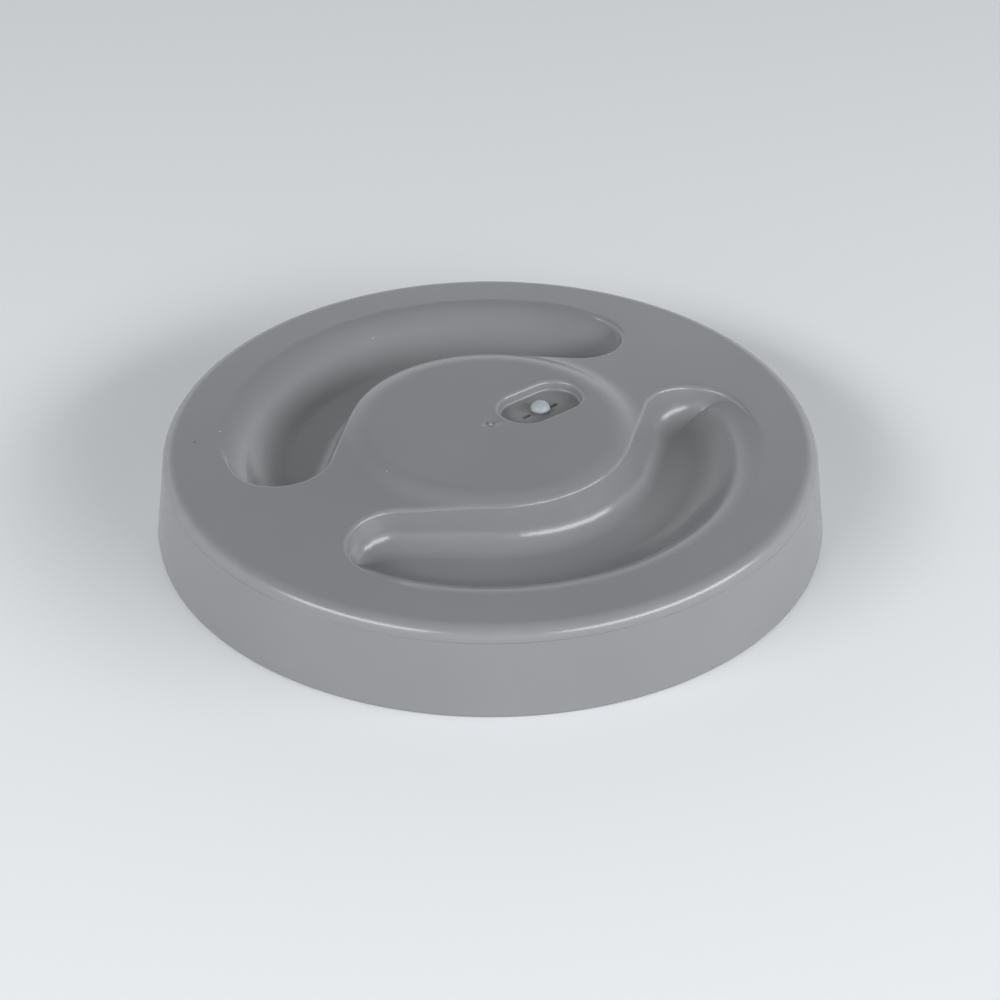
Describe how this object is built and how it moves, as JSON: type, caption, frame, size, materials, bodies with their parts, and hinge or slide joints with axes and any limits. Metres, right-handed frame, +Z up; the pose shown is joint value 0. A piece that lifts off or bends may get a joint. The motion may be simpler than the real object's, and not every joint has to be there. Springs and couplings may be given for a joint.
{
  "type": "screw-on filler lid",
  "caption": "Round moulded screw-on tank lid with two finger recesses, a raised centre disc, a sealing ring in its skirt and a small umbrella air valve.",
  "frame": {"origin": "on the lid's axis at the plane of its open mouth, which it rests on", "axes": "+Z up out of the top, +X along the grip web towards the air valve, +Y across the web through the middle of a finger recess"},
  "size_m": [0.1498, 0.1498, 0.0258],
  "materials": {
    "lid_plastic": "satin moulded polypropylene, mid grey",
    "gasket_rubber": "matt black EPDM",
    "valve_silicone": "translucent silicone"
  },
  "bodies": {
    "lid": {"lid_shell": "lid_plastic", "neck_gasket": "gasket_rubber"},
    "vent_valve": {"vent_valve": "valve_silicone"}
  },
  "joints": [
    {"name": "vent_open", "type": "slide", "parent": "lid", "child": "vent_valve", "axis": [0, 0, -1], "range_m": [0, 0.0005], "stiffness_N_per_m": 40, "springref_m": -0.001}
  ]
}
